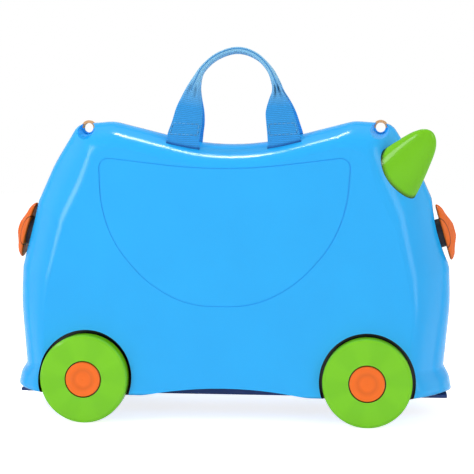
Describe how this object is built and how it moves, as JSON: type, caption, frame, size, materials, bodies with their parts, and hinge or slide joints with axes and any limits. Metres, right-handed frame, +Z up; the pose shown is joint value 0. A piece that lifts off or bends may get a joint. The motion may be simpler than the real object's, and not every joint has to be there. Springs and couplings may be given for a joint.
{
  "type": "ride on suitcase",
  "caption": "Child's ride on suitcase: two hinged gloss half shells with a saddle top, wheels, horns, turning end catches, tow loops and webbing carry handles.",
  "frame": {"origin": "middle of the footprint, on the floor under the wheels", "axes": "+X along the case towards the horn end, -Y the half seen in the picture, +Z up"},
  "size_m": [0.4658, 0.1984, 0.3826],
  "materials": {
    "case_blue": "smooth gloss moulding",
    "trim_navy": "soft satin moulding",
    "wheel_green": "smooth gloss moulding",
    "hub_orange": "smooth gloss moulding",
    "horn_green": "smooth gloss moulding",
    "catch_orange": "smooth gloss moulding",
    "catch_dark": "plain moulding",
    "loop_tan": "plain moulding",
    "webbing_blue": "woven ribs",
    "anchor_plastic": "plain moulding",
    "steel": "bright zinc"
  },
  "bodies": {
    "near_half": {"shell_near": "case_blue", "edge_trim_near": "trim_navy", "hinge_leaf_near": "trim_navy", "hinge_fairing_near": "trim_navy", "hinge_screws_near": "steel", "hinge_pin": "steel", "axle_near_front": "steel", "axle_near_rear": "steel", "axle_clips_near": "steel", "horn_near": "horn_green", "horn_screw_near": "steel", "catch_base_front": "catch_dark", "catch_base_rear": "catch_dark", "catch_base_screws": "steel", "tow_loop_front": "loop_tan", "tow_loop_rear": "loop_tan", "tow_loop_screws": "steel", "handle_tails_near": "webbing_blue", "handle_anchors_near": "anchor_plastic"},
    "far_half": {"shell_far": "case_blue", "edge_trim_far": "trim_navy", "hinge_leaf_far": "trim_navy", "hinge_fairing_far": "trim_navy", "hinge_screws_far": "steel", "axle_far_front": "steel", "axle_far_rear": "steel", "axle_clips_far": "steel", "horn_far": "horn_green", "horn_screw_far": "steel", "catch_keeper_front": "catch_dark", "catch_keeper_rear": "catch_dark", "catch_keeper_screws": "steel", "handle_tails_far": "webbing_blue", "handle_anchors_far": "anchor_plastic"},
    "wheel_near_front": {"wheel_near_front": "wheel_green", "hub_cap_near_front": "hub_orange"},
    "wheel_near_rear": {"wheel_near_rear": "wheel_green", "hub_cap_near_rear": "hub_orange"},
    "wheel_far_front": {"wheel_far_front": "wheel_green", "hub_cap_far_front": "hub_orange"},
    "wheel_far_rear": {"wheel_far_rear": "wheel_green", "hub_cap_far_rear": "hub_orange"},
    "catch_front": {"catch_knob_front": "catch_orange", "catch_stem_front": "catch_dark", "catch_cam_front": "catch_dark", "catch_cam_screw_front": "steel"},
    "catch_rear": {"catch_knob_rear": "catch_orange", "catch_stem_rear": "catch_dark", "catch_cam_rear": "catch_dark", "catch_cam_screw_rear": "steel"},
    "handle_near": {"handle_strap_near": "webbing_blue"},
    "handle_far": {"handle_strap_far": "webbing_blue"}
  },
  "joints": [
    {"name": "case_open", "type": "hinge", "parent": "near_half", "child": "far_half", "pos_m": [0, 0, 0.018], "axis": [-1, 0, 0], "range_deg": [0, 145]},
    {"name": "wheel_near_front_spin", "type": "hinge", "parent": "near_half", "child": "wheel_near_front", "pos_m": [0.1425, -0.0885, 0.0445], "axis": [0, 1, 0], "continuous": true},
    {"name": "wheel_near_rear_spin", "type": "hinge", "parent": "near_half", "child": "wheel_near_rear", "pos_m": [-0.1425, -0.0885, 0.0445], "axis": [0, 1, 0], "continuous": true},
    {"name": "wheel_far_front_spin", "type": "hinge", "parent": "far_half", "child": "wheel_far_front", "pos_m": [0.1425, 0.0885, 0.0445], "axis": [0, 1, 0], "continuous": true},
    {"name": "wheel_far_rear_spin", "type": "hinge", "parent": "far_half", "child": "wheel_far_rear", "pos_m": [-0.1425, 0.0885, 0.0445], "axis": [0, 1, 0], "continuous": true},
    {"name": "catch_front_turn", "type": "hinge", "parent": "near_half", "child": "catch_front", "pos_m": [0.21218, 0, 0.18702], "axis": [-0.9613, 0, -0.2756], "range_deg": [0, 90]},
    {"name": "catch_rear_turn", "type": "hinge", "parent": "near_half", "child": "catch_rear", "pos_m": [-0.21218, 0, 0.18702], "axis": [-0.9613, 0, 0.2756], "range_deg": [0, 90]},
    {"name": "handle_near_swing", "type": "hinge", "parent": "near_half", "child": "handle_near", "pos_m": [0.0032, -0.034, 0.28814], "axis": [1, 0, 0], "range_deg": [0, 110]},
    {"name": "handle_far_swing", "type": "hinge", "parent": "far_half", "child": "handle_far", "pos_m": [0.0032, 0.034, 0.28814], "axis": [-1, 0, 0], "range_deg": [0, 110]}
  ]
}
